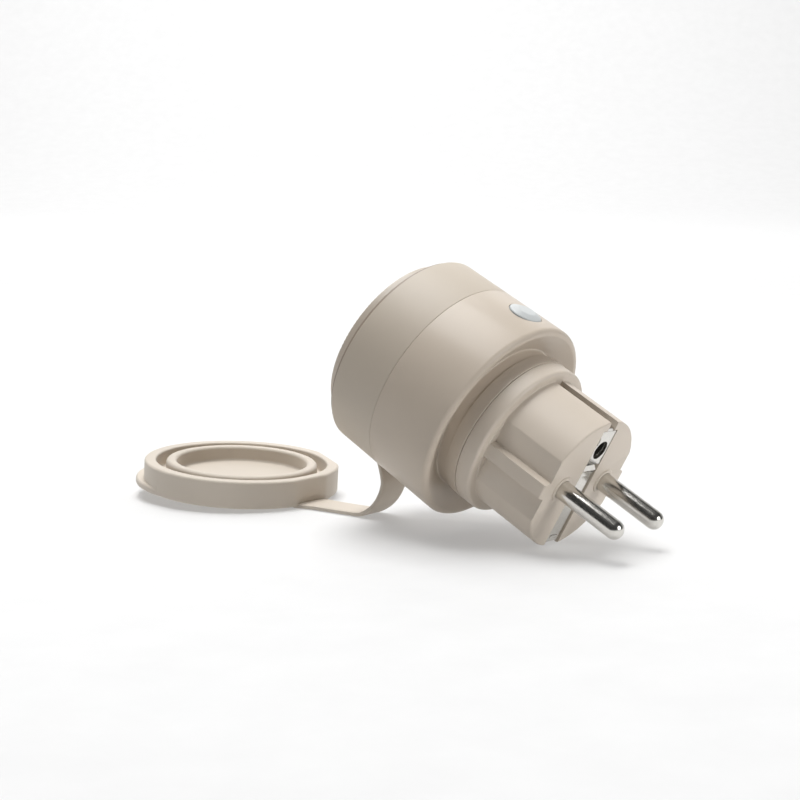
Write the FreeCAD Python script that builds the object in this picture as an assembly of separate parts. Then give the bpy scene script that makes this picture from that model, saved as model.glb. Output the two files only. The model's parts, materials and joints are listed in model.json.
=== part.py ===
import FreeCAD, Part
import math
import os

# A smart plug with a socket in its back and a captive sealing lid, standing tipped
# forward on the edge of its plug face with the lid laid out behind it.
# Lengths are in millimetres. +Z is up, +X is the way the pins point (seen from above)
# and the plug's axis lies in the plane y = 0.
# Plug parts are drawn along their own axis: local x runs forward and is 0 at the plug
# face, local y is sideways and local z is up. place_in_plug then tips them into position.

os.makedirs("parts", exist_ok=True)

Vector = FreeCAD.Vector
AXIS = Vector(1, 0, 0)

# Pose of the plug and the lid
TILT = 28.11                # plug axis below horizontal, degrees
ROLL = -2.87                # plug turned about its own axis, degrees
LID_TILT = 3.9              # far end of the lid raised, degrees
FACE_X = 63.13              # plug face centre, so that the origin is under the middle
FACE_Z = 15.80
LID_X = -49.91              # middle of the lid's underside
LID_Z = 2.26

# Shared fits
GAP = 0.1                   # clearance between fixed neighbours
HAIR = 0.05                 # clearance of a close fixed fit

# Plug body
BODY_R = 18.06
FACE_ROUND = 0.4
COLLAR_R = 20.5
COLLAR_FRONT = -18.35
COLLAR_BACK = -22.85
SPIGOT_R = 17.8
SPIGOT_BACK = -31.0
CAVITY_R = 15.2
CAVITY_HALF = 13.6
CAVITY_HALF_HEIGHT = 14.0
CAVITY_FRONT = -4.2
FLAT_Y = 16.0
RIB_R = 17.9
RIB_BASE_HALF = 2.3
RIB_TOP_HALF = 1.8
SLOT_HALF = 1.6
SLOT_FLOOR = 14.9
CHANNEL_HALF = 3.15
CHANNEL_DEPTH = 1.35
STRIP_THICK = 0.6
EARTH_Z = 10.0

# Pins and contacts
PIN_R = 2.4
PIN_Y = 9.5
PIN_LENGTH = 19.0
PIN_TAIL = -9.0
PIN_TAIL_R = 2.2
PIN_SHOULDER = 0.5
CONTACT_IN = 2.46
CONTACT_OUT = 3.15
CONTACT_BACK = -42.0
CONTACT_FRONT = -27.6

# Shells
SHELL_FRONT = -26.6
SHELL_FRONT_R = 27.5
PARTING = -46.2
PARTING_R = 27.14
PARTING_GAP = 0.3
SHELL_BACK = -61.4
SHELL_BACK_R = 26.86
REAR_INNER_R = 24.6
FRONT_INNER_R = 24.9
TONGUE_R = 25.8
TONGUE_TIP = -43.75
REAR_WALL_INNER = -59.2

# Socket
RING_R = 23.3
RING_BACK = -64.8
CUP_SPIGOT_R = 22.4
CUP_R = 21.5
MOUTH_R = 21.4
MOUTH_FLOOR = -61.2
RECESS_R = 19.6
RECESS_FLOOR = -47.3
CUP_FRONT = -44.8
KEY_Y = 16.6
KEY_HALF = 5.6
KEY_GROOVE_HALF = 2.7
PIN_HOLE_R = 2.75
SCREW_R = 16.0
SCREW_ANGLES = (45, 225)

# Shutter and carrier
SHUTTER_R = 12.2
SHUTTER_HALF = 4.2
SHUTTER_BACK = -44.55
SHUTTER_FRONT = -43.2
HUB_R = 1.5
CARRIER_R = 18.3
CARRIER_FRONT = -33.7
CARRIER_FLOOR = -35.4

# Circuit board and its parts
BOARD_R = 23.9
BOARD_BACK = -33.6
BOARD_FRONT = -32.0
BOARD_NOTCH_HALF = 6.6
BOARD_NOTCH_Z = 17.9

# Button
BUTTON_X = -34.9
BUTTON_R = 4.3
BUTTON_HOLE_R = 4.6
BUTTON_TOP = 27.75
BUTTON_DOME = 0.75
BUTTON_FLANGE_Z = 24.1
SWITCH_TOP = 22.6

# Strap
STRAP_HALF = 4.9
STRAP_THICK = 1.3
STRAP_TAIL_FRONT = -15.08
STRAP_TAIL_BACK = -26.75
STRAP_ROOT = -53.0

# Lid
LID_R = 27.11
LID_HEIGHT = 7.49
LID_INNER_R = 23.84
LID_FLOOR = 3.4
LID_SEAL_IN = 18.15
LID_SEAL_OUT = 21.09
LID_SEAL_TOP = 7.55
TAB_R = 26.4
TAB_SHIFT = 4.2              # middle of the tab's circle, away from the strap
TAB_THICK = 1.9


def corner_round(before, corner, after, radius):
    """Return the start, middle and end of the arc that rounds one corner."""
    back = (before - corner).normalize()
    ahead = (after - corner).normalize()
    half_angle = back.getAngle(ahead) / 2
    reach = radius / math.tan(half_angle)
    middle = (back + ahead).normalize() * (radius / math.sin(half_angle) - radius)
    return corner + back * reach, corner + middle, corner + ahead * reach


def outline(corners):
    """Closed wire in the local XZ plane through (x, z) or (x, z, rounding) corners."""
    points = [Vector(corner[0], 0, corner[1]) for corner in corners]
    count = len(points)
    stretches = []
    arcs = []
    for index, corner in enumerate(corners):
        point = points[index]
        if len(corner) == 3:
            start, middle, end = corner_round(points[index - 1], point, points[(index + 1) % count], corner[2])
            arcs.append(Part.Arc(start, middle, end).toShape())
        else:
            start = point
            end = point
            arcs.append(None)
        stretches.append((start, end))
    edges = []
    for index in range(count):
        if arcs[index] is not None:
            edges.append(arcs[index])
        leave = stretches[index][1]
        arrive = stretches[(index + 1) % count][0]
        if leave.distanceToPoint(arrive) > 1e-6:
            edges.append(Part.makeLine(leave, arrive))
    return Part.Wire(edges)


def turned(corners):
    """Solid of revolution about local x from an (x, radius) outline."""
    return Part.Face(outline(corners)).revolve(Vector(0, 0, 0), AXIS, 360)


def turned_upright(corners):
    """Solid of revolution about local z from a (radius, z) outline."""
    return Part.Face(outline(corners)).revolve(Vector(0, 0, 0), Vector(0, 0, 1), 360)


def tube(back, front, outer, inner):
    return turned([(back, inner), (back, outer), (front, outer), (front, inner)])


def rod(back, front, radius, y=0.0, z=0.0):
    return Part.makeCylinder(radius, front - back, Vector(back, y, z), AXIS)


def block(x_range, y_range, z_range):
    sizes = [high - low for low, high in (x_range, y_range, z_range)]
    return Part.makeBox(sizes[0], sizes[1], sizes[2], Vector(x_range[0], y_range[0], z_range[0]))


def wide_block(x_range, half_width, z_range):
    return block(x_range, (-half_width, half_width), z_range)


def mirrored(shape):
    """The same shape on the other side of the plane y = 0."""
    return shape.mirror(Vector(0, 0, 0), Vector(0, 1, 0))


def turned_about_axis(shape, angle):
    copy = shape.copy()
    copy.rotate(Vector(0, 0, 0), AXIS, angle)
    return copy


def place_in_plug(shape, roll=ROLL):
    """Tip a plug part from its own frame into the standing position."""
    placed = shape.copy()
    placed.rotate(Vector(0, 0, 0), AXIS, roll)
    placed.rotate(Vector(0, 0, 0), Vector(0, 1, 0), TILT)
    placed.translate(Vector(FACE_X, 0, FACE_Z))
    return placed


def place_lid(shape):
    """Tip a lid part from its own upright frame on to the ground behind the plug."""
    placed = shape.copy()
    placed.rotate(Vector(0, 0, 0), Vector(0, 1, 0), LID_TILT)
    placed.translate(Vector(LID_X, 0, LID_Z))
    return placed


def save(name, shape):
    solids = [solid for solid in shape.Solids]
    result = solids[0] if len(solids) == 1 else Part.makeCompound(solids)
    result.exportStep("parts/" + name + ".step")


def save_in_plug(name, shape):
    save(name, place_in_plug(shape))


# ---------------------------------------------------------------- housing shells

def front_shell():
    shell = turned([
        (PARTING + PARTING_GAP / 2, PARTING_R, 0.15),
        (SHELL_FRONT, SHELL_FRONT_R, 1.25),
        (SHELL_FRONT, 25.8, 0.3),
        (-29.8, 20.0, 0.3),
        (-26.55, 20.0, 0.2),
        (-26.55, 20.35, 0.1),
        (-22.98, 20.6, 0.15),
        (-22.98, 20.0),
        (-23.8, 20.0),
        (-23.8, SPIGOT_R + GAP),
        (-31.9, SPIGOT_R + GAP),
        (-31.9, 20.5),
        (-29.4, FRONT_INNER_R),
        (-43.5, FRONT_INNER_R),
        (-43.5, TONGUE_R + GAP),
        (PARTING + PARTING_GAP / 2, TONGUE_R + GAP)])
    hole = Part.makeCylinder(BUTTON_HOLE_R, 10, Vector(BUTTON_X, 0, 20), Vector(0, 0, 1))
    return shell.cut(hole)


def rear_shell():
    shell = turned([
        (SHELL_BACK, CUP_SPIGOT_R + GAP),
        (SHELL_BACK, SHELL_BACK_R, 1.0),
        (PARTING - PARTING_GAP / 2, PARTING_R, 0.15),
        (PARTING - PARTING_GAP / 2, TONGUE_R),
        (TONGUE_TIP, TONGUE_R),
        (TONGUE_TIP, REAR_INNER_R),
        (REAR_WALL_INNER, REAR_INNER_R, 0.5),
        (REAR_WALL_INNER, CUP_SPIGOT_R + GAP)])
    slot_half = STRAP_THICK / 2 + HAIR
    slot = wide_block((STRAP_ROOT - slot_half, STRAP_ROOT + slot_half), STRAP_HALF + HAIR, (-29, -23))
    return shell.cut(slot)


def shell_gasket():
    back = PARTING - PARTING_GAP / 2 + 0.02
    front = PARTING + PARTING_GAP / 2 - 0.02
    return tube(back, front, PARTING_R - 0.35, TONGUE_R + 0.05)


def collar_seal():
    return tube(-23.75, COLLAR_BACK - 0.02, 19.9, SPIGOT_R + 0.05)


# ---------------------------------------------------------------- plug body and pins

def side_flats():
    """Stock cut away to leave the two flats, each with its rib."""
    stock = block((COLLAR_FRONT + 0.25, 1), (FLAT_Y, 20), (-12, 12))
    rib = Part.Face(Part.makePolygon([
        Vector(COLLAR_FRONT, FLAT_Y - 0.5, -RIB_BASE_HALF),
        Vector(COLLAR_FRONT, RIB_R, -RIB_TOP_HALF),
        Vector(COLLAR_FRONT, RIB_R, RIB_TOP_HALF),
        Vector(COLLAR_FRONT, FLAT_Y - 0.5, RIB_BASE_HALF),
        Vector(COLLAR_FRONT, FLAT_Y - 0.5, -RIB_BASE_HALF)])).extrude(Vector(-COLLAR_FRONT - 0.3, 0, 0))
    flat = stock.cut(rib)
    return flat.fuse(mirrored(flat))


def plug_body():
    body = turned([
        (0, 0),
        (0, BODY_R, FACE_ROUND),
        (COLLAR_FRONT, BODY_R),
        (COLLAR_FRONT, COLLAR_R, 0.9),
        (COLLAR_BACK, COLLAR_R - 0.03, 0.1),
        (COLLAR_BACK, SPIGOT_R),
        (SPIGOT_BACK, SPIGOT_R),
        (SPIGOT_BACK, 0)])
    cavity = rod(SPIGOT_BACK - 1, CAVITY_FRONT, CAVITY_R)
    height = (-CAVITY_HALF_HEIGHT, CAVITY_HALF_HEIGHT)
    cavity = cavity.common(wide_block((SPIGOT_BACK - 2, 0), CAVITY_HALF, height))
    body = body.cut(cavity).cut(side_flats())
    for side in (-1, 1):
        boss = rod(-6.4, CAVITY_FRONT + 0.5, 3.8, side * PIN_Y)
        collar = rod(-0.5, 0.45, 3.3, side * PIN_Y)
        body = body.fuse(boss).fuse(collar)
        body = body.cut(rod(-10, 2, PIN_TAIL_R + HAIR, side * PIN_Y))
    body = body.fuse(rod(-15.5, CAVITY_FRONT + 0.5, 4.1, 0, EARTH_Z))
    body = body.cut(wide_block((-CHANNEL_DEPTH, 1), CHANNEL_HALF, (-19, 19)))
    body = body.cut(wide_block((COLLAR_FRONT, 1), SLOT_HALF, (SLOT_FLOOR, 19)))
    body = body.cut(wide_block((COLLAR_FRONT, 1), SLOT_HALF, (-19, -SLOT_FLOOR)))
    return body.cut(rod(-16, 1, 3.1 + HAIR, 0, EARTH_Z)).removeSplitter()


def pin(side):
    """Contact pin, thinner where it is held in the plug body."""
    shape = turned([
        (PIN_TAIL, 0),
        (PIN_TAIL, PIN_TAIL_R, 0.3),
        (PIN_SHOULDER, PIN_TAIL_R),
        (PIN_SHOULDER, PIN_R),
        (PIN_LENGTH, PIN_R, 2.35),
        (PIN_LENGTH, 0)])
    shape.translate(Vector(0, side * PIN_Y, 0))
    return shape


def plug_earth_strip():
    """Sprung metal strip down the face, folded into the slots above and below."""
    middle_line = [
        (-17.4, 15.5), (-9.0, 15.9), (-2.2, 15.7), (-0.9, 15.3), (-0.55, 14.9),
        (-0.55, 5.6), (-0.95, 5.4), (-0.6, 4.7), (-0.5, 3.9), (-0.6, 3.1), (-0.85, 2.5),
        (-0.85, -14.9), (-1.2, -15.3), (-2.5, -15.7), (-9.0, -15.9), (-17.4, -15.5)]
    upper = []
    lower = []
    for index, (x, z) in enumerate(middle_line):
        before = middle_line[max(index - 1, 0)]
        after = middle_line[min(index + 1, len(middle_line) - 1)]
        direction = Vector(after[0] - before[0], 0, after[1] - before[1]).normalize()
        offset = Vector(direction.z, 0, -direction.x) * (STRIP_THICK / 2)
        upper.append(Vector(x, 0, z) + offset)
        lower.append(Vector(x, 0, z) - offset)
    wire = Part.makePolygon(upper + lower[::-1] + [upper[0]])
    narrow_half = SLOT_HALF - GAP
    wide_half = CHANNEL_HALF - GAP
    strip = Part.Face(wire).extrude(Vector(0, 2 * wide_half, 0))
    strip.translate(Vector(0, -wide_half, 0))
    face_part = strip.common(wide_block((-1.3, 2), wide_half, (-15.6, 15.6)))
    leg_part = strip.common(wide_block((-20, 2), narrow_half, (-19, 19)))
    strip = face_part.fuse(leg_part).removeSplitter()
    return strip.cut(rod(-6, 3, 2.5, 0, EARTH_Z))


def earth_hole_sleeve():
    return tube(-15.0, -0.95, 3.1, 2.46).translated(Vector(0, 0, EARTH_Z))


# ---------------------------------------------------------------- socket

def socket_cup():
    cup = turned([
        (CUP_FRONT, 0),
        (RECESS_FLOOR, 0),
        (RECESS_FLOOR, RECESS_R, 0.4),
        (MOUTH_FLOOR, RECESS_R, 0.3),
        (MOUTH_FLOOR, MOUTH_R),
        (RING_BACK + 0.6, MOUTH_R),
        (RING_BACK, MOUTH_R + 0.25, 0.1),
        (RING_BACK, RING_R, 0.4),
        (SHELL_BACK - HAIR, RING_R),
        (SHELL_BACK - HAIR, CUP_SPIGOT_R),
        (-56.5, CUP_SPIGOT_R),
        (-56.5, CUP_R),
        (CUP_FRONT, CUP_R)])
    key = block((MOUTH_FLOOR + 1.0, RECESS_FLOOR + 0.5), (KEY_Y, RECESS_R + 1), (-KEY_HALF, KEY_HALF))
    key = key.cut(wide_block((MOUTH_FLOOR, RECESS_FLOOR + 1), 30, (-KEY_GROOVE_HALF, KEY_GROOVE_HALF)))
    key = key.common(rod(MOUTH_FLOOR, CUP_FRONT, CUP_R - 0.5))
    cup = cup.fuse(key).fuse(mirrored(key))
    for side in (-1, 1):
        cup = cup.cut(rod(RECESS_FLOOR - 1, CUP_FRONT + 1, PIN_HOLE_R, side * PIN_Y))
    for angle in SCREW_ANGLES:
        screw_hole = rod(RECESS_FLOOR - 1, CUP_FRONT + 1, 1.25, SCREW_R)
        head_hole = rod(RECESS_FLOOR - 1, RECESS_FLOOR + 1.3, 2.35, SCREW_R)
        cup = cup.cut(turned_about_axis(screw_hole.fuse(head_hole), angle))
    for low, high in ((19.2, 20.85), (-20.85, -19.2)):
        cup = cup.cut(wide_block((MOUTH_FLOOR + 0.8, CUP_FRONT + 1), 2.3, (low, high)))
    return cup.removeSplitter()


def cup_seal():
    return tube(-59.1, -57.7, 23.5, CUP_SPIGOT_R + HAIR)


def cup_screws():
    screws = []
    for angle in SCREW_ANGLES:
        head = rod(RECESS_FLOOR + 0.05, RECESS_FLOOR + 1.28, 2.25, SCREW_R)
        recess = rod(RECESS_FLOOR - 0.2, RECESS_FLOOR + 0.75, 0.9, SCREW_R)
        shank = rod(RECESS_FLOOR + 1.2, -37.0, 1.2, SCREW_R)
        screws.append(turned_about_axis(head.cut(recess).fuse(shank), angle))
    return Part.makeCompound(screws)


def socket_earth_clips():
    """Two sprung strips that bow into the recess and run out through its floor."""
    line = [(-59.6, 20.2), (-57.0, 19.2), (-54.0, 18.75), (-51.0, 19.3), (-49.0, 20.2), (-43.8, 20.2)]
    thick = 0.5
    outer = [Vector(x, 0, z + thick / 2) for x, z in line]
    inner = [Vector(x, 0, z - thick / 2) for x, z in line]
    clip = Part.Face(Part.makePolygon(outer + inner[::-1] + [outer[0]])).extrude(Vector(0, 4, 0))
    clip.translate(Vector(0, -2, 0))
    return Part.makeCompound([clip, turned_about_axis(clip, 180)])


# ---------------------------------------------------------------- shutter and carrier

def contact_carrier():
    carrier = turned([
        (CARRIER_FRONT, 0),
        (CARRIER_FRONT, CARRIER_R, 0.3),
        (CUP_FRONT + HAIR, CARRIER_R),
        (CUP_FRONT + HAIR, CARRIER_R - 1.4),
        (CARRIER_FLOOR, CARRIER_R - 1.4),
        (CARRIER_FLOOR, 0)])
    carrier = carrier.fuse(rod(CUP_FRONT + HAIR, CARRIER_FLOOR + 0.1, HUB_R))
    for angle in SCREW_ANGLES:
        post = rod(CUP_FRONT + HAIR, CARRIER_FLOOR + 0.1, 2.3, SCREW_R)
        carrier = carrier.fuse(turned_about_axis(post, angle))
    for angle in SCREW_ANGLES:
        carrier = carrier.cut(turned_about_axis(rod(CUP_FRONT - 1, -36.5, 1.23, SCREW_R), angle))
    for side in (-1, 1):
        carrier = carrier.cut(rod(-46, -30, CONTACT_OUT + HAIR, side * PIN_Y))
    return carrier.removeSplitter()


def shutter_rotor():
    rotor = rod(SHUTTER_BACK, SHUTTER_FRONT, SHUTTER_R)
    rotor = rotor.common(wide_block((-46, -42), 20, (-SHUTTER_HALF, SHUTTER_HALF)))
    return rotor.cut(rod(-46, -40, HUB_R + 0.06))


def shutter_spring():
    coils = []
    for x in (-42.6, -41.9, -41.2):
        coil = Part.makeTorus(2.2, 0.28, Vector(x, 0, 0), AXIS)
        coils.append(coil)
    return Part.makeCompound(coils)


def socket_contact(side):
    sleeve = tube(CONTACT_BACK, CONTACT_FRONT, CONTACT_OUT, CONTACT_IN)
    split = wide_block((CONTACT_BACK - 1, -37.0), 0.35, (-5, 5))
    sleeve = sleeve.cut(split)
    sleeve.translate(Vector(0, side * PIN_Y, 0))
    return sleeve


# ---------------------------------------------------------------- electronics

def main_board():
    board = rod(BOARD_BACK, BOARD_FRONT, BOARD_R)
    board = board.cut(wide_block((-40, -30), BOARD_NOTCH_HALF, (BOARD_NOTCH_Z, 30)))
    for side in (-1, 1):
        board = board.cut(rod(-40, -30, CONTACT_OUT + HAIR, side * PIN_Y))
    return board


def relay():
    case = wide_block((-25.0, -10.0), 6.0, (-12.5, 4.6))
    return case.makeFillet(0.5, case.Edges)


def board_chips():
    metering = wide_block((BOARD_FRONT + 0.02, -30.6), 2.5, (7.0, 12.0))
    regulator = block((BOARD_FRONT + 0.02, -30.5), (-3.0, 1.0), (-13.5, -9.5))
    shunt = block((BOARD_FRONT + 0.02, -31.2), (2.0, 5.0), (-12.5, -8.5))
    return Part.makeCompound([metering, regulator, shunt])


def bulk_capacitors():
    cans = []
    for angle in (-62, -38):
        can = turned([(-42.8, 0), (-42.8, 2.6, 0.4), (BOARD_BACK - 0.02, 2.6, 0.3), (BOARD_BACK - 0.02, 0)])
        can.translate(Vector(0, 21.3, 0))
        cans.append(turned_about_axis(can, angle))
    return Part.makeCompound(cans)


def power_transformer():
    case = block((-42.8, BOARD_BACK - 0.02), (18.7, 23.6), (-4.6, 4.6))
    return turned_about_axis(case.makeFillet(0.4, case.Edges), 176)


def varistor():
    disc = Part.makeCylinder(3.9, 2.4, Vector(-38.0, 19.2, 0), Vector(0, 1, 0))
    return turned_about_axis(disc, 222)


def fuse():
    body = rod(-42.8, BOARD_BACK - 0.02, 2.3, 21.4)
    return turned_about_axis(body, 132)


def wireless_module():
    card = block((-42.8, BOARD_BACK - 0.02), (19.0, 19.8), (-6.0, 6.0))
    shield = block((-42.2, -36.0), (19.82, 22.0), (-4.8, 4.8))
    return turned_about_axis(Part.makeCompound([card, shield]), 30)


def busbar():
    """Feed strip along the wall, with a lug round the pin's tail."""
    strip = block((-30.5, -6.5), (12.75, 13.5), (-1.8, 1.8))
    lug = tube(-8.8, -6.5, 3.3, PIN_TAIL_R + HAIR).translated(Vector(0, PIN_Y, 0))
    return strip.cut(rod(-31, CAVITY_FRONT, CONTACT_OUT + HAIR, PIN_Y)).fuse(lug)


def busbar_live():
    """The live strip is broken in the middle, where the relay switches it."""
    bar = busbar().cut(block((-19.0, -15.5), (12, 14), (-3, 3)))
    tabs = [block((-15.5, -14.9), (6.05, 13.0), (-1.8, 1.8)), block((-19.6, -19.0), (6.05, 13.0), (-1.8, 1.8))]
    return bar.fuse(tabs[0]).fuse(tabs[1]).removeSplitter()


def busbar_neutral():
    return mirrored(busbar())


def earth_link():
    """Bar across the board's edge joining the socket clips to the plug's earth strip."""
    half_ring = tube(-43.7, -43.1, 20.9, 19.5)
    half_ring = half_ring.cut(block((-50, -40), (-30, 0), (-30, 30)))
    return half_ring


# ---------------------------------------------------------------- button

def button_board():
    return wide_block((-41.0, -31.9), 5.6, (18.6, 19.6))


def tact_switch():
    case = wide_block((-37.4, -32.4), 2.5, (19.62, SWITCH_TOP - 0.8))
    plunger = Part.makeCylinder(1.2, 0.9, Vector(BUTTON_X, 0, SWITCH_TOP - 0.9), Vector(0, 0, 1))
    return case.fuse(plunger)


def status_led():
    return wide_block((-40.2, -38.4), 1.0, (19.62, 20.5))


def button_cap():
    edge = BUTTON_TOP - 0.5
    dome_middle = BUTTON_TOP + BUTTON_DOME - 0.3
    cap = turned_upright([
        (0, BUTTON_FLANGE_Z - 0.5),
        (5.4, BUTTON_FLANGE_Z - 0.5, 0.15),
        (5.4, BUTTON_FLANGE_Z, 0.15),
        (BUTTON_R, BUTTON_FLANGE_Z),
        (BUTTON_R, edge, 0.3),
        (2.2, dome_middle, 1.8),
        (0, dome_middle)])
    plunger = Part.makeCylinder(1.4, 0.6, Vector(0, 0, BUTTON_FLANGE_Z - 0.95), Vector(0, 0, 1))
    cap = cap.fuse(plunger).cut(wide_block((BUTTON_R + HAIR, 9), 9, (20, 26)))
    cap.translate(Vector(BUTTON_X, 0, 0))
    return cap


# ---------------------------------------------------------------- strap and lid

def strap_anchor():
    """Rubber block inside the rear shell with a neck out through the slot."""
    pad = wide_block((STRAP_ROOT - 3.0, STRAP_ROOT + 3.0), 6.5, (-24.4, -21.6))
    pad = pad.common(rod(-60, -45, REAR_INNER_R - HAIR)).cut(rod(-60, -45, CUP_R + HAIR))
    half = STRAP_THICK / 2
    neck = wide_block((STRAP_ROOT - half, STRAP_ROOT + half), STRAP_HALF, (-26.9, -22.5))
    return pad.fuse(neck.cut(rod(-60, -45, CUP_R + HAIR))).removeSplitter()


def strap_path():
    """Outer face of the strap's bend, from the ground round to the rear shell."""
    return [
        (-7.58, 0.02), (-3.07, 0.22), (0.63, 2.1), (3.03, 4.4),
        (4.73, 7.1), (5.53, 9.7), (5.47, 11.4), (5.02, 13.4), (4.02, 16.0)]


def smooth_edge(points):
    """Spline through the points that leaves the first one level."""
    curve = Part.BSplineCurve()
    last = (points[-1] - points[-2]).normalize()
    curve.interpolate(Points=points, InitialTangent=Vector(1, 0, 0), FinalTangent=last)
    return curve.toShape()


def strap_loop():
    """The strap's free bend: a band of even thickness on the hollow side of its outer face."""
    outer = [Vector(x, 0, z) for x, z in strap_path()]
    inner = [outer[0] + Vector(0, 0, STRAP_THICK)]
    for index in range(1, len(outer)):
        before = outer[index - 1]
        after = outer[min(index + 1, len(outer) - 1)]
        direction = (after - before).normalize()
        inner.append(outer[index] + Vector(-direction.z, 0, direction.x) * STRAP_THICK)
    start = Vector(STRAP_TAIL_FRONT + 0.05, 0, outer[0].z)
    start_inner = start + Vector(0, 0, STRAP_THICK)
    wire = Part.Wire([
        Part.makeLine(start, outer[0]),
        smooth_edge(outer),
        Part.makeLine(outer[-1], inner[-1]),
        smooth_edge(inner),
        Part.makeLine(inner[0], start_inner),
        Part.makeLine(start_inner, start)])
    band = Part.Face(wire).extrude(Vector(0, 2 * STRAP_HALF, 0))
    band.translate(Vector(0, -STRAP_HALF, 0))
    housing = place_in_plug(rod(-70, -30, PARTING_R + 0.1), 0)
    return band.cut(housing)


def lid_stock(radius):
    stock = Part.makeCylinder(radius, 30, Vector(0, 0, -10), Vector(0, 0, 1))
    return place_lid(stock)


def strap_tail():
    """Flat run of the strap, ending against the lid's wall."""
    band = wide_block((STRAP_TAIL_BACK, STRAP_TAIL_FRONT), STRAP_HALF, (0.02, 0.02 + STRAP_THICK))
    return band.cut(lid_stock(LID_R + 0.02))


def pull_tab():
    """Crescent lip at the lid's far end, used to pull it off."""
    disc = turned_upright([(0, 0), (TAB_R, 0, 0.4), (TAB_R, TAB_THICK, 0.7), (0, TAB_THICK)])
    disc.translate(Vector(-TAB_SHIFT, 0, 0))
    return disc


def lid_cap():
    cap = turned_upright([
        (0, 0),
        (LID_R, 0, 0.8),
        (LID_R, LID_HEIGHT, 0.7),
        (LID_INNER_R, LID_HEIGHT, 0.5),
        (LID_INNER_R, LID_FLOOR, 0.5),
        (0, LID_FLOOR)])
    return cap.fuse(pull_tab()).removeSplitter()


def lid_seal():
    return turned_upright([
        (LID_SEAL_IN, LID_FLOOR + 0.02),
        (LID_SEAL_OUT, LID_FLOOR + 0.02),
        (LID_SEAL_OUT, LID_SEAL_TOP, 0.9),
        (LID_SEAL_IN, LID_SEAL_TOP, 0.9)])


save_in_plug("front_shell", front_shell())
save_in_plug("shell_gasket", shell_gasket())
save_in_plug("collar_seal", collar_seal())
save_in_plug("plug_body", plug_body())
save_in_plug("pin_live", pin(1))
save_in_plug("pin_neutral", pin(-1))
save_in_plug("plug_earth_strip", plug_earth_strip())
save_in_plug("earth_hole_sleeve", earth_hole_sleeve())
save_in_plug("socket_cup", socket_cup())
save_in_plug("cup_seal", cup_seal())
save_in_plug("cup_screws", cup_screws())
save_in_plug("socket_earth_clips", socket_earth_clips())
save_in_plug("contact_carrier", contact_carrier())
save_in_plug("shutter_rotor", shutter_rotor())
save_in_plug("shutter_spring", shutter_spring())
save_in_plug("socket_contact_live", socket_contact(1))
save_in_plug("socket_contact_neutral", socket_contact(-1))
save_in_plug("main_board", main_board())
save_in_plug("relay", relay())
save_in_plug("board_chips", board_chips())
save_in_plug("bulk_capacitors", bulk_capacitors())
save_in_plug("power_transformer", power_transformer())
save_in_plug("varistor", varistor())
save_in_plug("fuse", fuse())
save_in_plug("wireless_module", wireless_module())
save_in_plug("busbar_live", busbar_live())
save_in_plug("busbar_neutral", busbar_neutral())
save_in_plug("earth_link", earth_link())
save_in_plug("button_board", button_board())
save_in_plug("tact_switch", tact_switch())
save_in_plug("status_led", status_led())
save_in_plug("button_cap", button_cap())
save("rear_shell", place_in_plug(rear_shell(), 0))
save("strap_anchor", place_in_plug(strap_anchor(), 0))
save("strap_loop", strap_loop())
save("strap_tail", strap_tail())
save("lid_cap", place_lid(lid_cap()))
save("lid_seal", place_lid(lid_seal()))
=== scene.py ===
import json
import math

import bmesh
import bpy
from mathutils import Matrix, Vector


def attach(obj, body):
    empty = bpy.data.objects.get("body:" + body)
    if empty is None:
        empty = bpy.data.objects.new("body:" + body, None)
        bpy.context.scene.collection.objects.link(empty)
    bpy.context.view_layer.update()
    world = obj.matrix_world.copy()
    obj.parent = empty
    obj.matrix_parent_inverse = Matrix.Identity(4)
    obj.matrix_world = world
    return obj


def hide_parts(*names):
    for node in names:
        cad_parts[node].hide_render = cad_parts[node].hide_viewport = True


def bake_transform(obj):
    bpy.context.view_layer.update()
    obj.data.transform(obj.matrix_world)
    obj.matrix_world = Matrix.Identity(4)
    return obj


# A smart plug tipped forward on the edge of its face, with its rubber lid laid out behind.
# Meshes are drawn in millimetres in their part's own frame and put in place by a matrix.

MM = 0.001

# Pose of the plug and the lid, as in the CAD
TILT = math.radians(28.11)
ROLL = math.radians(-2.87)
LID_TILT = math.radians(3.9)
FACE = (63.13, 0.0, 15.80)
LID_MIDDLE = (-49.91, 0.0, 2.26)

# Fineness of the meshes
LATHE_STEPS = 240
ARC_STEPS = 6
CURVE_STEPS = 8
SHARP_ANGLE = math.radians(32)

# Depth of the surface texture, in metres
MOULD_GRAIN = 0.00006
METAL_GRAIN = 0.00004

# Plug body
BODY_R = 18.06
COLLAR_FRONT = -18.35
SLOT_HALF = 1.6
SLOT_FLOOR = 13.2
CHANNEL_HALF = 3.15
CHANNEL_DEPTH = 1.35
STRIP_TOP = 15.5
STRIP_FOOT = -17.2
EARTH_Z = 10.0
FLAT_Y = 16.0
PIN_Y = 9.5
PIN_R = 2.4

# Shells
PARTING = -46.2
SEAM_HALF = 0.03
RIM_BACK = -60.5
BEZEL_BACK = -61.45
BUTTON_X = -34.9
BUTTON_R = 4.3
BUTTON_GAP = 0.12

# Strap and lid
STRAP_HALF = 4.9
STRAP_THICK = 1.3
STRAP_EDGE = 0.25
STRAP_SLOT = (-53.7, -52.3)
LID_R = 27.11
LID_HEIGHT = 7.49
LID_INNER_R = 23.84
LID_FLOOR = 3.4
SEAL_IN = 18.15
SEAL_OUT = 21.09
SEAL_TOP = 7.55
TAB_R = 26.4
TAB_SHIFT = 4.2
TAB_THICK = 1.9

# Two short flats on the lid's wall, as (from, to) in degrees, and how far in they reach
FLAT_SPANS = ((-14.0, 11.5), (43.0, 77.0))
FLAT_REACH_R = 23.0

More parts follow.
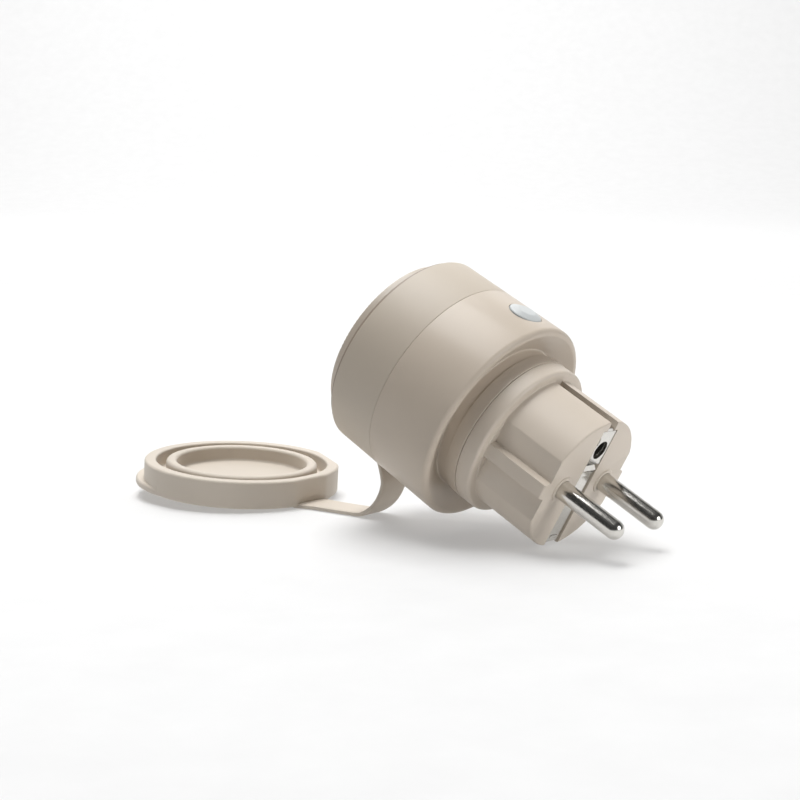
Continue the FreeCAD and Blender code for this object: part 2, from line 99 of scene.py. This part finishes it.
# Stage and camera, in metres
FLOOR_REACH = 9.0
WALL_START = 2.2
WALL_CURVE = 1.0
WALL_TOP = 4.0
STAGE_TURN = math.radians(38.3)
CAMERA_PLACE = (0.29256, -0.36172, 0.09565)
CAMERA_TARGET = (0.03042, -0.02962, 0.03691)
LENS = 80.68

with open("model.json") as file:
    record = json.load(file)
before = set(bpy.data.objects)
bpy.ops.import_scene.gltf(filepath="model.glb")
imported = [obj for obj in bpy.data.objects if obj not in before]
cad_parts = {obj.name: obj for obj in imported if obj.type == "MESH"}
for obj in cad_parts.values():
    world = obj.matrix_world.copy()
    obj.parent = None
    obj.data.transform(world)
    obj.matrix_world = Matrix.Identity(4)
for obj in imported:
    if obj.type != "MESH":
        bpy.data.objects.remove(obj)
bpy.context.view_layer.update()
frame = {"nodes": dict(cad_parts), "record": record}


# ---------------------------------------------------------------- placing

def plug_matrix(roll=ROLL):
    tip = Matrix.Rotation(TILT, 4, "Y") @ Matrix.Rotation(roll, 4, "X")
    return Matrix.Scale(MM, 4) @ Matrix.Translation(Vector(FACE)) @ tip


def lid_matrix():
    return Matrix.Scale(MM, 4) @ Matrix.Translation(Vector(LID_MIDDLE)) @ Matrix.Rotation(LID_TILT, 4, "Y")


ROLLED = plug_matrix()
UNROLLED = plug_matrix(0.0)
LID = lid_matrix()
WORLD_MM = Matrix.Scale(MM, 4)


# ---------------------------------------------------------------- mesh tools

def rounded(corners):
    """Points of a closed outline whose (x, r, radius) corners are turned into arcs."""
    points = []
    count = len(corners)
    for index, corner in enumerate(corners):
        point = Vector(corner[:2])
        if len(corner) == 2:
            points.append(point)
            continue
        back = (Vector(corners[index - 1][:2]) - point).normalized()
        ahead = (Vector(corners[(index + 1) % count][:2]) - point).normalized()
        half = back.angle(ahead) / 2
        middle = point + (back + ahead).normalized() * (corner[2] / math.sin(half))
        start = point + back * (corner[2] / math.tan(half)) - middle
        end = point + ahead * (corner[2] / math.tan(half)) - middle
        sweep = start.angle_signed(end)
        for step in range(ARC_STEPS + 1):
            turn = Matrix.Rotation(-sweep * step / ARC_STEPS, 2)
            points.append(middle + turn @ start)
    return points


def new_object(name, bm, matrix):
    """Finish a bmesh as an object in the row frame, smooth except at its sharp edges."""
    bmesh.ops.remove_doubles(bm, verts=bm.verts, dist=1e-4)
    bmesh.ops.recalc_face_normals(bm, faces=bm.faces)
    mesh = bpy.data.meshes.new(name)
    bm.to_mesh(mesh)
    bm.free()
    mesh.transform(matrix)
    obj = bpy.data.objects.new(name, mesh)
    bpy.context.scene.collection.objects.link(obj)
    shade(obj)
    return obj


def shade(obj):
    for polygon in obj.data.polygons:
        polygon.use_smooth = True
    obj.data.set_sharp_from_angle(angle=SHARP_ANGLE)


def lathe_mesh(corners, upright=False, radius_at=None, steps=LATHE_STEPS):
    """Outline turned about local x, or about local z from (radius, z) corners."""
    points = rounded(corners)
    bm = bmesh.new()
    rings = []
    for step in range(steps):
        angle = 2 * math.pi * step / steps
        cos = math.cos(angle)
        sin = math.sin(angle)
        ring = []
        for first, second in points:
            if upright:
                radius = radius_at(first, angle) if radius_at else first
                ring.append(bm.verts.new((radius * cos, radius * sin, second)))
            else:
                ring.append(bm.verts.new((first, second * cos, second * sin)))
        rings.append(ring)
    count = len(points)
    on_axis = [abs(point[0] if upright else point[1]) < 1e-6 for point in points]
    for step in range(steps):
        here = rings[step]
        there = rings[(step + 1) % steps]
        for index in range(count):
            after = (index + 1) % count
            if on_axis[index] and on_axis[after]:
                continue
            if on_axis[index]:
                bm.faces.new((here[index], here[after], there[after]))
            elif on_axis[after]:
                bm.faces.new((here[index], here[after], there[index]))
            else:
                bm.faces.new((here[index], here[after], there[after], there[index]))
    return bm


def lathe(name, corners, matrix, **options):
    return new_object(name, lathe_mesh(corners, **options), matrix)


def prism_mesh(points, low, high, axis="y"):
    """Closed outline of (x, z) points run from low to high along y, or (y, z) along x."""
    bm = bmesh.new()
    ends = []
    for distance in (low, high):
        if axis == "y":
            ends.append([bm.verts.new((first, distance, second)) for first, second in points])
        else:
            ends.append([bm.verts.new((distance, first, second)) for first, second in points])
    count = len(points)
    bm.faces.new(ends[0])
    bm.faces.new(ends[1][::-1])
    for index in range(count):
        after = (index + 1) % count
        bm.faces.new((ends[0][after], ends[0][index], ends[1][index], ends[1][after]))
    return bm


def block_mesh(x_range, y_range, z_range):
    back, front = x_range
    low, high = z_range
    corners = [(back, low), (front, low), (front, high), (back, high)]
    return prism_mesh(corners, y_range[0], y_range[1])


def rod_mesh(back, front, radius, y=0.0, z=0.0, steps=72):
    bm = lathe_mesh([(back, 0), (back, radius), (front, radius), (front, 0)], steps=steps)
    bmesh.ops.translate(bm, verts=bm.verts, vec=(0, y, z))
    return bm


def carve(obj, tools, matrix, operation="DIFFERENCE"):
    """Cut bmeshes from an object, or join them to it, leaving no modifier behind."""
    for tool in tools:
        cutter = new_object("cutter", tool, matrix)
        modifier = obj.modifiers.new("carve", "BOOLEAN")
        modifier.operation = operation
        modifier.solver = "EXACT"
        modifier.object = cutter
        bpy.context.view_layer.update()
        result = bpy.data.meshes.new_from_object(obj.evaluated_get(bpy.context.evaluated_depsgraph_get()))
        obj.modifiers.remove(modifier)
        obj.data = result
        bpy.data.objects.remove(cutter)
    shade(obj)
    return obj


# ---------------------------------------------------------------- materials

def start_material(name):
    material = bpy.data.materials.new(name)
    material.use_nodes = True
    nodes = material.node_tree.nodes
    return material, nodes, material.node_tree.links, nodes["Principled BSDF"]


def add_noise(nodes, links, scale, detail, stretch=(1.0, 1.0, 1.0)):
    place = nodes.new("ShaderNodeTexCoord")
    mapping = nodes.new("ShaderNodeMapping")
    mapping.inputs["Scale"].default_value = stretch
    noise = nodes.new("ShaderNodeTexNoise")
    noise.inputs["Scale"].default_value = scale
    noise.inputs["Detail"].default_value = detail
    links.new(place.outputs["Object"], mapping.inputs["Vector"])
    links.new(mapping.outputs["Vector"], noise.inputs["Vector"])
    return noise


def tint(nodes, links, shader, noise, dark, light):
    ramp = nodes.new("ShaderNodeValToRGB")
    ramp.color_ramp.elements[0].position = 0.3
    ramp.color_ramp.elements[0].color = (*dark, 1)
    ramp.color_ramp.elements[1].position = 0.7
    ramp.color_ramp.elements[1].color = (*light, 1)
    links.new(noise.outputs["Fac"], ramp.inputs["Fac"])
    links.new(ramp.outputs["Color"], shader.inputs["Base Color"])


def vary_roughness(nodes, links, shader, noise, low, high):
    spread = nodes.new("ShaderNodeMapRange")
    spread.inputs["To Min"].default_value = low
    spread.inputs["To Max"].default_value = high
    links.new(noise.outputs["Fac"], spread.inputs["Value"])
    links.new(spread.outputs["Result"], shader.inputs["Roughness"])


def bump(nodes, links, shader, noise, strength, depth, edge):
    """Fine surface texture over edges softened by edge metres."""
    relief = nodes.new("ShaderNodeBump")
    relief.inputs["Strength"].default_value = strength
    relief.inputs["Distance"].default_value = depth
    links.new(noise.outputs["Fac"], relief.inputs["Height"])
    if edge:
        soften = nodes.new("ShaderNodeBevel")
        soften.samples = 6
        soften.inputs["Radius"].default_value = edge
        links.new(soften.outputs["Normal"], relief.inputs["Normal"])
    links.new(relief.outputs["Normal"], shader.inputs["Normal"])


def moulded(name, colour, rough, grain=1600.0, strength=0.06, edge=0.0002, spread=0.02,
            coat=0.0, soft=0.0, gloss=0.5):
    """Moulded plastic or rubber: near-even colour, fine grain and softened edges."""
    material, nodes, links, shader = start_material(name)
    broad = add_noise(nodes, links, 60.0, 3.0)
    fine = add_noise(nodes, links, grain, 4.0)
    dark = [channel * (1 - spread) for channel in colour]
    light = [min(1.0, channel * (1 + spread)) for channel in colour]
    tint(nodes, links, shader, broad, dark, light)
    vary_roughness(nodes, links, shader, fine, rough * 0.9, min(1.0, rough * 1.12))
    bump(nodes, links, shader, fine, strength, MOULD_GRAIN, edge)
    shader.inputs["Coat Weight"].default_value = coat
    shader.inputs["Coat Roughness"].default_value = 0.12
    shader.inputs["Sheen Weight"].default_value = soft
    shader.inputs["Specular IOR Level"].default_value = gloss
    return material


def metal(name, colour, rough, stretch=(1.0, 1.0, 1.0), grain=900.0, strength=0.08, edge=0.0001):
    material, nodes, links, shader = start_material(name)
    fine = add_noise(nodes, links, grain, 5.0, stretch)
    dark = [channel * 0.93 for channel in colour]
    tint(nodes, links, shader, fine, dark, colour)
    vary_roughness(nodes, links, shader, fine, rough * 0.8, rough * 1.25)
    bump(nodes, links, shader, fine, strength, METAL_GRAIN, edge)
    shader.inputs["Metallic"].default_value = 1.0
    return material


SHELL_COLOUR = (0.505, 0.438, 0.364)
REAR_COLOUR = (0.485, 0.424, 0.350)
INSERT_COLOUR = (0.570, 0.502, 0.425)
RUBBER_COLOUR = (0.610, 0.543, 0.462)

FRONT_PLASTIC = moulded("front_casing", SHELL_COLOUR, 0.36, strength=0.03, coat=0.06, gloss=0.25)
REAR_PLASTIC = moulded("rear_casing", REAR_COLOUR, 0.52, strength=0.08)
INSERT_PLASTIC = moulded("plug_insert", INSERT_COLOUR, 0.42, strength=0.05)
# Darker copy of the rear casing's plastic for the set-back bezel ring: painted shade for a ring that faces
# away from the light.
REAR_PLASTIC_PAINTED_SHADE = moulded("rear_casing_painted_shade", (0.290, 0.235, 0.185), 0.45, strength=0.06)
RUBBER = moulded("soft_rubber", RUBBER_COLOUR, 0.62, strength=0.10, soft=0.15)
DARK_SEAL = moulded("dark_seal", (0.16, 0.135, 0.11), 0.6)
BUTTON_PLASTIC = moulded("button_plastic", (0.49, 0.51, 0.51), 0.38, strength=0.02, spread=0.01)
NICKEL = metal("nickel", (0.70, 0.68, 0.64), 0.21, strength=0.12)
BRASS = metal("contact_brass", (0.72, 0.52, 0.25), 0.28)
STEEL = metal("screw_steel", (0.60, 0.60, 0.60), 0.3)
SLOT_MATERIALS = {
    "front_casing": FRONT_PLASTIC,
    "rear_casing": REAR_PLASTIC,
    "plug_insert": INSERT_PLASTIC,
    "soft_rubber": RUBBER,
    "dark_seal": DARK_SEAL,
    "nickel": NICKEL,
    "contact_brass": BRASS,
    "screw_steel": STEEL,
    "button_plastic": BUTTON_PLASTIC,
    "inner_plastic": moulded("inner_plastic", (0.10, 0.105, 0.115), 0.5),
    "board_green": moulded("board_green", (0.03, 0.15, 0.07), 0.4, grain=700.0, spread=0.15),
    "relay_case": moulded("relay_case", (0.03, 0.07, 0.22), 0.35),
    "chip_black": moulded("chip_black", (0.02, 0.02, 0.022), 0.5),
    "can_aluminium": metal("can_aluminium", (0.62, 0.63, 0.65), 0.3),
    "varistor_blue": moulded("varistor_blue", (0.03, 0.10, 0.32), 0.3),
    "light_white": moulded("light_white", (0.75, 0.75, 0.70), 0.3),
    "spring_steel": metal("spring_steel", (0.55, 0.55, 0.56), 0.25),
}


def paint_cad():
    """Every carried-over CAD node takes the procedural material of its record slot."""
    for entry in frame["record"]["subparts"]:
        obj = frame["nodes"][entry["node"]]
        obj.data.materials.clear()
        obj.data.materials.append(SLOT_MATERIALS[entry["material_slot"]])
        shade(obj)


def piece(obj, slot_name, body, *nodes):
    """Give a finished piece its material and body, and hide the CAD nodes it stands for."""
    obj.data.materials.clear()
    obj.data.materials.append(SLOT_MATERIALS[slot_name])
    if body:
        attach(obj, body)
    if nodes:
        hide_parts(*nodes)
    return obj


# ---------------------------------------------------------------- housing

def front_casing():
    shell = lathe("casing_front", [
        (PARTING + SEAM_HALF, 27.14, 0.06),
        (-26.6, 27.5, 1.25),
        (-26.6, 25.8, 0.3),
        (-29.8, 20.0, 0.35),
        (-26.55, 20.0, 0.2),
        (-26.55, 20.35, 0.12),
        (-22.98, 20.6, 0.15),
        (-22.98, 20.0),
        (-23.8, 20.0),
        (-23.8, 17.9),
        (-31.9, 17.9),
        (-31.9, 20.5),
        (-29.4, 24.9),
        (-43.5, 24.9),
        (-43.5, 25.9),
        (PARTING + SEAM_HALF, 25.9)], ROLLED)
    radius = BUTTON_R + BUTTON_GAP
    hole = lathe_mesh([(0, 20), (radius, 20), (radius, 30), (0, 30)], upright=True, steps=96)
    bmesh.ops.translate(hole, verts=hole.verts, vec=(BUTTON_X, 0, 0))
    carve(shell, [hole], ROLLED)
    return piece(shell, "front_casing", "housing", "front_shell")


def rear_casing():
    shell = lathe("casing_rear", [
        (RIM_BACK, 22.5),
        (RIM_BACK, 26.88, 0.3),
        (PARTING - SEAM_HALF, 27.14, 0.06),
        (PARTING - SEAM_HALF, 25.8),
        (-43.75, 25.8),
        (-43.75, 24.6),
        (-59.2, 24.6, 0.5),
        (-59.2, 22.5)], UNROLLED)
    slot = block_mesh(STRAP_SLOT, (-STRAP_HALF - 0.05, STRAP_HALF + 0.05), (-29, -23))
    carve(shell, [slot], UNROLLED)
    return piece(shell, "rear_casing", "housing", "rear_shell")


def rear_bezel():
    """Narrow set-back ring that closes the rear casing round the socket, coloured darker than the casing as
    painted shade.
    """
    ring = lathe("rear_bezel", [
        (RIM_BACK - 0.02, 23.4),
        (RIM_BACK - 0.02, 26.35),
        (BEZEL_BACK, 26.15, 0.4),
        (BEZEL_BACK, 23.4)], UNROLLED)
    piece(ring, "rear_casing", "housing")
    # Painted shade: the ring takes the darker copy of the rear casing's plastic.
    ring.data.materials[0] = REAR_PLASTIC_PAINTED_SHADE


def gasket():
    ring = lathe("casing_gasket", [
        (PARTING - SEAM_HALF, 26.0),
        (PARTING - SEAM_HALF, 26.95),
        (PARTING + SEAM_HALF, 26.95),
        (PARTING + SEAM_HALF, 26.0)], ROLLED)
    return piece(ring, "dark_seal", "housing", "shell_gasket")


def flat_cutters():
    """Stock beside each flat, above and below its rib."""
    cutters = []
    for side in (-1, 1):
        for up in (-1, 1):
            outline = [(FLAT_Y, 2.3), (17.9, 1.8), (20.5, 1.8), (20.5, 12.0), (FLAT_Y, 12.0)]
            points = [(side * y, up * z) for y, z in outline]
            cutters.append(prism_mesh(points, COLLAR_FRONT + 0.25, 2.0, axis="x"))
    return cutters


def plug_insert():
    body = lathe("plug_insert", [
        (0, 0),
        (0, BODY_R, 0.45),
        (COLLAR_FRONT, BODY_R, 0.25),
        (COLLAR_FRONT, 20.5, 0.9),
        (-22.85, 20.47, 0.12),
        (-22.85, 17.8),
        (-31.0, 17.8),
        (-31.0, 15.2),
        (-20.0, 15.2),
        (-18.0, 12.5),
        (-4.2, 12.5),
        (-4.2, 0)], ROLLED)
    channel = block_mesh((-CHANNEL_DEPTH, 2), (-CHANNEL_HALF, CHANNEL_HALF), (-20, STRIP_TOP + 0.15))
    slots = [block_mesh((COLLAR_FRONT, 2), (-SLOT_HALF, SLOT_HALF), (SLOT_FLOOR, 20)),
             block_mesh((COLLAR_FRONT, 2), (-SLOT_HALF, SLOT_HALF), (-20, -SLOT_FLOOR))]
    earth = rod_mesh(-16, 1, 3.15, 0, EARTH_Z)
    carve(body, flat_cutters() + [channel, earth] + slots, ROLLED)
    return piece(body, "plug_insert", "housing", "plug_body")


def pin_collars():
    """Low raised rings round the roots of the pins."""
    for side, name in ((-1, "pin_collar_near"), (1, "pin_collar_far")):
        bm = lathe_mesh([(-0.3, 2.45), (-0.3, 3.4), (0.3, 3.3, 0.25), (0.3, 2.45)], steps=96)
        bmesh.ops.translate(bm, verts=bm.verts, vec=(0, side * PIN_Y, 0))
        piece(new_object(name, bm, ROLLED), "plug_insert", "housing")


def earth_strip():
    """Metal strip down the face: a plate round the earth hole, a sprung roll and a flat run."""
    half = CHANNEL_HALF - 0.06
    face_part = rounded([
        (-0.12, STRIP_TOP, 0.3), (-0.12, 5.7, 0.12), (-0.72, 5.45, 0.15), (-0.1, 3.95, 1.1),
        (-0.4, 2.3, 0.3), (-0.4, STRIP_FOOT, 0.35), (-1.0, STRIP_FOOT), (-1.0, 2.2),
        (-1.0, 5.3), (-0.7, STRIP_TOP)])
    leg = rounded([
        (-0.2, 15.2), (-0.35, 16.2, 0.4), (-2.4, 16.4, 0.6), (-4.6, 15.2, 0.4), (-4.6, 14.6),
        (-2.2, 15.6, 0.6), (-0.9, 15.3)])
    strip = new_object("earth_strip_plate", prism_mesh(face_part, -half, half), ROLLED)
    legs = []
    for up in (-1, 1):
        legs.append(prism_mesh([(x, up * z) for x, z in leg], 0.1 - SLOT_HALF, SLOT_HALF - 0.1))
    carve(strip, legs, ROLLED, "UNION")
    notches = [block_mesh((-2, 1), (-4.0, -2.55), (11.6, 13.6)),
               block_mesh((-2, 1), (2.65, 4.0), (6.6, 7.6))]
    carve(strip, [rod_mesh(-3, 1, 2.5, 0, EARTH_Z)] + notches, ROLLED)
    return piece(strip, "nickel", "housing", "plug_earth_strip")


def contact_pins():
    for side, name, node in ((-1, "plug_pin_near", "pin_neutral"), (1, "plug_pin_far", "pin_live")):
        bm = lathe_mesh([(-9.0, 0), (-9.0, PIN_R, 0.3), (19.0, PIN_R, 2.3), (19.0, 0)], steps=128)
        bmesh.ops.translate(bm, verts=bm.verts, vec=(0, side * PIN_Y, 0))
        piece(new_object(name, bm, ROLLED), "nickel", "housing", node)


def button():
    cap = lathe("button_dome", [
        (0, 23.6),
        (4.4, 23.6, 0.04),
        (4.4, 24.1, 0.04),
        (BUTTON_R, 24.1),
        (BUTTON_R, 27.4, 0.5),
        (2.4, 28.15, 2.0),
        (0, 28.2)], ROLLED @ Matrix.Translation((BUTTON_X, 0, 0)), upright=True, steps=128)
    return piece(cap, "button_plastic", "button", "button_cap")


# ---------------------------------------------------------------- lid and strap

def lid_radius(radius, angle):
    """The lid's wall is round but for two short flats on the strap side."""
    if radius < FLAT_REACH_R:
        return radius
    degrees = math.degrees(angle)
    if degrees > 180:
        degrees -= 360
    for low, high in FLAT_SPANS:
        if low < degrees < high:
            half = math.radians(high - low) / 2
            middle = math.radians(high + low) / 2
            cut = LID_R * (1 - math.cos(half) / math.cos(math.radians(degrees) - middle))
            return radius - cut * (radius - FLAT_REACH_R) / (LID_R - FLAT_REACH_R)
    return radius


def lid():
    cap = lathe("lid_rubber", [
        (0, 0),
        (LID_R, 0, 0.8),
        (LID_R, LID_HEIGHT, 0.7),
        (LID_INNER_R, LID_HEIGHT, 0.5),
        (LID_INNER_R, LID_FLOOR, 0.6),
        (SEAL_OUT, LID_FLOOR, 0.5),
        (SEAL_OUT, SEAL_TOP, 1.1),
        (SEAL_IN, SEAL_TOP, 0.9),
        (SEAL_IN, LID_FLOOR, 0.8),
        (0, 3.3)], LID, upright=True, radius_at=lid_radius)
    edge = [(0, 0.02), (TAB_R, 0.02, 0.5), (TAB_R, TAB_THICK, 0.7), (0, TAB_THICK)]
    tab = lathe_mesh(edge, upright=True)
    bmesh.ops.translate(tab, verts=tab.verts, vec=(-TAB_SHIFT, 0, 0))
    carve(cap, [tab], LID, "UNION")
    return piece(cap, "soft_rubber", "lid", "lid_cap", "lid_seal")


def smooth_path(points, steps):
    """Catmull-Rom curve through the points."""
    ends = [points[0] * 2 - points[1]] + points + [points[-1] * 2 - points[-2]]
    curve = []
    for index in range(1, len(ends) - 2):
        a, b, c, d = ends[index - 1:index + 3]
        for step in range(steps):
            t = step / steps
            curve.append(0.5 * ((2 * b) + (c - a) * t + (2 * a - 5 * b + 4 * c - d) * t * t
                                + (3 * b - a - 3 * c + d) * t * t * t))
    curve.append(points[-1])
    return curve


def strap():
    """One rubber band from the lid's wall, along the ground and up under the housing."""
    route = [
        (-24.8, 0.02, 6.2), (-22.6, 0.02, 5.6), (-19.4, 0.02, 5.0), (-14.0, 0.02, 4.75), (-7.58, 0.05, 4.7),
        (-3.08, 0.25, 4.7), (0.62, 2.1, 4.75), (3.02, 4.4, 4.8), (4.72, 7.1, 4.85),
        (5.52, 9.7, 4.9), (5.47, 11.4, 4.9), (5.02, 13.4, 4.9), (3.92, 17.0, 4.9), (3.22, 19.0, 4.9)]
    samples = smooth_path([Vector(point) for point in route], CURVE_STEPS)
    section = rounded([
        (-1, 0, STRAP_EDGE), (1, 0, STRAP_EDGE),
        (1, STRAP_THICK, STRAP_EDGE), (-1, STRAP_THICK, STRAP_EDGE)])
    bm = bmesh.new()
    rows = []
    for index, sample in enumerate(samples):
        before = samples[max(index - 1, 0)]
        after = samples[min(index + 1, len(samples) - 1)]
        along = Vector((after.x - before.x, after.y - before.y)).normalized()
        row = []
        for across, depth in section:
            inside = abs(across) < 1
            side = across * (sample.z - STRAP_EDGE) if inside else math.copysign(sample.z, across)
            row.append(bm.verts.new((sample.x - along.y * depth, side, sample.y + along.x * depth)))
        rows.append(row)
    count = len(section)
    for here, there in zip(rows, rows[1:]):
        for index in range(count):
            after = (index + 1) % count
            bm.faces.new((here[index], here[after], there[after], there[index]))
    bm.faces.new(rows[0])
    bm.faces.new(rows[-1][::-1])
    band = new_object("strap_band", bm, WORLD_MM)
    piece(band, "soft_rubber", None, "strap_loop", "strap_tail", "strap_anchor")
    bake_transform(band)
    return band


# ---------------------------------------------------------------- stage

def backdrop():
    """Pale floor that curves up into a wall far behind the object."""
    bm = bmesh.new()
    outline = [(-FLOOR_REACH, 0.0), (WALL_START, 0.0)]
    for step in range(1, 17):
        angle = math.radians(90 * step / 16)
        along = WALL_START + WALL_CURVE * math.sin(angle)
        outline.append((along, WALL_CURVE * (1.0 - math.cos(angle))))
    outline.append((WALL_START + WALL_CURVE, WALL_TOP))
    rows = []
    for along, up in outline:
        rows.append([bm.verts.new((side, along, up - 0.00002)) for side in (-FLOOR_REACH, FLOOR_REACH)])
    for here, there in zip(rows, rows[1:]):
        bm.faces.new((here[0], here[1], there[1], there[0]))
    for face in bm.faces:
        face.smooth = True
    mesh = bpy.data.meshes.new("studio_floor")
    bm.to_mesh(mesh)
    bm.free()
    floor = bpy.data.objects.new("studio_floor", mesh)
    floor.rotation_euler = (0, 0, STAGE_TURN)
    bpy.context.scene.collection.objects.link(floor)
    paper = moulded("studio_paper", (0.50, 0.50, 0.50), 0.9, grain=300.0, strength=0.0, edge=0.0)
    shader = paper.node_tree.nodes["Principled BSDF"]
    shader.inputs["Emission Color"].default_value = (1.0, 1.0, 1.0, 1.0)
    shader.inputs["Emission Strength"].default_value = 0.30
    floor.data.materials.append(paper)


def area_light(name, place, target, size, power, colour=(1.0, 1.0, 1.0)):
    light = bpy.data.lights.new(name, "AREA")
    light.shape = "RECTANGLE"
    light.size, light.size_y = size
    light.energy = power
    light.color = colour
    obj = bpy.data.objects.new(name, light)
    obj.location = place
    obj.rotation_euler = (Vector(target) - Vector(place)).to_track_quat("-Z", "Y").to_euler()
    bpy.context.scene.collection.objects.link(obj)


def lighting():
    world = bpy.data.worlds.new("studio")
    world.use_nodes = True
    background = world.node_tree.nodes["Background"]
    background.inputs["Color"].default_value = (1.0, 1.0, 1.0, 1.0)
    background.inputs["Strength"].default_value = 0.04
    bpy.context.scene.world = world
    bpy.context.scene.view_settings.view_transform = "Standard"
    area_light("overhead", (-0.14, -0.02, 1.0), (0.0, 0.0, 0.03), (0.75, 0.55), 11.3)
    area_light("back_fill", (-0.7, 1.1, 1.0), (0.0, 0.0, 0.03), (1.2, 0.8), 2.6)
    area_light("side_fill", (1.3, 0.10, 0.45), (0.0, 0.0, 0.03), (0.6, 0.6), 8.0)
    area_light("wall_wash", (-1.0, 1.0, 2.2), (-1.9, 2.4, 0.8), (1.5, 1.0), 72.0)


def camera():
    data = bpy.data.cameras.new("camera")
    data.lens = LENS
    data.sensor_width = 36.0
    data.clip_start = 0.01
    obj = bpy.data.objects.new("camera", data)
    obj.location = CAMERA_PLACE
    look = Vector(CAMERA_TARGET) - Vector(CAMERA_PLACE)
    obj.rotation_euler = look.to_track_quat("-Z", "Y").to_euler()
    bpy.context.scene.collection.objects.link(obj)
    bpy.context.scene.camera = obj


paint_cad()
front_casing()
rear_casing()
rear_bezel()
gasket()
plug_insert()
pin_collars()
contact_pins()
earth_strip()
button()
lid()
strap()
backdrop()
lighting()
camera()
